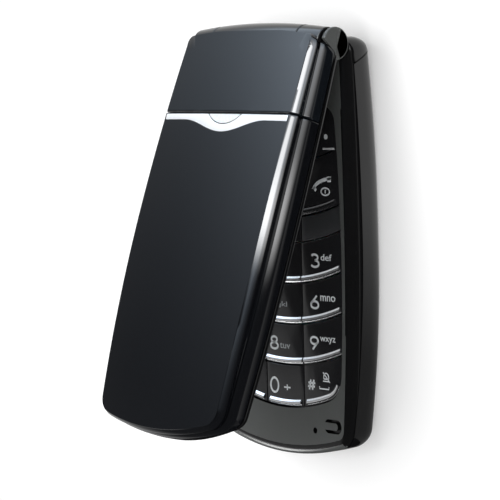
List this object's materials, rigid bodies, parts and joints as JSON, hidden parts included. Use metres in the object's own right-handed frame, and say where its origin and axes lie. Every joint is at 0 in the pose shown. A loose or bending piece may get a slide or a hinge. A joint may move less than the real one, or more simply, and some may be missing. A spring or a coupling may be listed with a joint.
{
  "type": "folding mobile phone",
  "caption": "Small folding mobile phone lying on its back with the lid part open, gloss black with a bright wave trim across the lid and a curved keypad.",
  "frame": {"origin": "centre of the flat stretch of the back, at the surface the phone lies on", "axes": "X across the width, +Y along the length towards the hinge, +Z out of the keypad face"},
  "size_m": [0.0443, 0.0882, 0.0431],
  "materials": {
    "black_lacquer": "high gloss lacquer",
    "window_black": "polished smoked window",
    "shell_black": "gloss moulding",
    "face_grey": "satin graphite",
    "key_black": "gloss key caps",
    "bright_trim": "bright plating",
    "smoked_lens": "frosted light guide",
    "screen_glass": "clear window",
    "steel_can": "tinned steel",
    "rubber_black": "soft rubber",
    "silicone": "translucent silicone",
    "board_green": "solder mask",
    "battery_case": "wrapped can",
    "contact_gold": "gold plating",
    "card_white": "printed card",
    "module_grey": "display stack",
    "polyester": "clear film",
    "antenna_flex": "flexible circuit on a carrier"
  },
  "bodies": {
    "base": {"front_shell": "face_grey", "rear_shell": "shell_black", "battery": "battery_case", "battery_contacts": "contact_gold", "main_board": "board_green", "shield_cans": "steel_can", "antenna": "antenna_flex", "loudspeaker": "steel_can", "microphone": "steel_can", "sim_holder": "steel_can", "sim_card": "card_white", "side_connector": "steel_can", "shell_screws": "steel_can", "keypad_mat": "silicone", "dome_sheet": "polyester", "keypad_dividers": "face_grey", "backup_cell": "steel_can", "hall_sensor": "key_black", "hinge_cartridge": "steel_can", "hinge_bush": "steel_can"},
    "lid": {"lid_inner_frame": "shell_black", "lid_lower_cover": "black_lacquer", "lid_upper_cover": "window_black", "lid_trim": "bright_trim", "signal_lens": "smoked_lens", "display_window": "screen_glass", "display_module": "module_grey", "lid_board": "board_green", "earpiece": "steel_can", "earpiece_mesh": "steel_can", "lid_bumpers": "rubber_black", "lid_screws": "steel_can", "closing_magnet": "steel_can", "vibration_motor": "steel_can"},
    "battery_cover": {"battery_cover": "shell_black"},
    "connector_flap": {"connector_flap": "rubber_black"},
    "volume_key": {"volume_key": "key_black"},
    "nav_ring": {"nav_ring": "key_black"},
    "nav_centre_key": {"nav_centre_key": "bright_trim"},
    "soft_key_left": {"soft_key_left": "key_black"},
    "soft_key_right": {"soft_key_right": "key_black"},
    "send_key": {"send_key": "key_black"},
    "end_key": {"end_key": "key_black"},
    "clear_key": {"clear_key": "key_black"},
    "key_1": {"key_1": "key_black"},
    "key_2": {"key_2": "key_black"},
    "key_3": {"key_3": "key_black"},
    "key_4": {"key_4": "key_black"},
    "key_5": {"key_5": "key_black"},
    "key_6": {"key_6": "key_black"},
    "key_7": {"key_7": "key_black"},
    "key_8": {"key_8": "key_black"},
    "key_9": {"key_9": "key_black"},
    "key_star": {"key_star": "key_black"},
    "key_0": {"key_0": "key_black"},
    "key_hash": {"key_hash": "key_black"}
  },
  "joints": [
    {"name": "lid_hinge", "type": "hinge", "parent": "base", "child": "lid", "pos_m": [0, 0.0395, 0.012], "axis": [-1, 0, 0], "range_deg": [-19.4, 138.6]},
    {"name": "soft_key_left_press", "type": "slide", "parent": "base", "child": "soft_key_left", "axis": [0, 0, -1], "range_m": [0, 0.00025], "stiffness_N_per_m": 1500},
    {"name": "soft_key_right_press", "type": "slide", "parent": "base", "child": "soft_key_right", "axis": [0, 0, -1], "range_m": [0, 0.00025], "stiffness_N_per_m": 1500},
    {"name": "send_key_press", "type": "slide", "parent": "base", "child": "send_key", "axis": [0, 0, -1], "range_m": [0, 0.00025], "stiffness_N_per_m": 1500},
    {"name": "end_key_press", "type": "slide", "parent": "base", "child": "end_key", "axis": [0, 0, -1], "range_m": [0, 0.00025], "stiffness_N_per_m": 1500},
    {"name": "clear_key_press", "type": "slide", "parent": "base", "child": "clear_key", "axis": [0, 0, -1], "range_m": [0, 0.00025], "stiffness_N_per_m": 1500},
    {"name": "key_1_press", "type": "slide", "parent": "base", "child": "key_1", "axis": [0, 0, -1], "range_m": [0, 0.00025], "stiffness_N_per_m": 1500},
    {"name": "key_2_press", "type": "slide", "parent": "base", "child": "key_2", "axis": [0, 0, -1], "range_m": [0, 0.00025], "stiffness_N_per_m": 1500},
    {"name": "key_3_press", "type": "slide", "parent": "base", "child": "key_3", "axis": [0, 0, -1], "range_m": [0, 0.00025], "stiffness_N_per_m": 1500},
    {"name": "key_4_press", "type": "slide", "parent": "base", "child": "key_4", "axis": [0, 0, -1], "range_m": [0, 0.00025], "stiffness_N_per_m": 1500},
    {"name": "key_5_press", "type": "slide", "parent": "base", "child": "key_5", "axis": [0, 0, -1], "range_m": [0, 0.00025], "stiffness_N_per_m": 1500},
    {"name": "key_6_press", "type": "slide", "parent": "base", "child": "key_6", "axis": [0, 0, -1], "range_m": [0, 0.00025], "stiffness_N_per_m": 1500},
    {"name": "key_7_press", "type": "slide", "parent": "base", "child": "key_7", "axis": [0, 0, -1], "range_m": [0, 0.00025], "stiffness_N_per_m": 1500},
    {"name": "key_8_press", "type": "slide", "parent": "base", "child": "key_8", "axis": [0, 0, -1], "range_m": [0, 0.00025], "stiffness_N_per_m": 1500},
    {"name": "key_9_press", "type": "slide", "parent": "base", "child": "key_9", "axis": [0, 0, -1], "range_m": [0, 0.00025], "stiffness_N_per_m": 1500},
    {"name": "key_star_press", "type": "slide", "parent": "base", "child": "key_star", "axis": [0, 0, -1], "range_m": [0, 0.00025], "stiffness_N_per_m": 1500},
    {"name": "key_0_press", "type": "slide", "parent": "base", "child": "key_0", "axis": [0, 0, -1], "range_m": [0, 0.00025], "stiffness_N_per_m": 1500},
    {"name": "key_hash_press", "type": "slide", "parent": "base", "child": "key_hash", "axis": [0, 0, -1], "range_m": [0, 0.00025], "stiffness_N_per_m": 1500},
    {"name": "nav_centre_key_press", "type": "slide", "parent": "base", "child": "nav_centre_key", "axis": [0, 0, -1], "range_m": [0, 0.00025], "stiffness_N_per_m": 1500},
    {"name": "nav_ring_rock", "type": "hinge", "parent": "base", "child": "nav_ring", "pos_m": [0, 0.0144, 0.0079], "axis": [1, 0, 0], "range_deg": [-1.7, 1.7], "stiffness_Nm_per_rad": 0.3},
    {"name": "volume_key_rock", "type": "hinge", "parent": "base", "child": "volume_key", "pos_m": [-0.0203, 0.022, 0.0046], "axis": [0, 0, 1], "range_deg": [-1.4, 1.4], "stiffness_Nm_per_rad": 0.2},
    {"name": "connector_flap_swing", "type": "hinge", "parent": "base", "child": "connector_flap", "pos_m": [-0.0215, 0.0073, 0.004], "axis": [0, 0, -1], "range_deg": [0, 95]},
    {"name": "battery_cover_slide", "type": "slide", "parent": "base", "child": "battery_cover", "axis": [0, -1, 0], "range_m": [0, 0.003]}
  ]
}
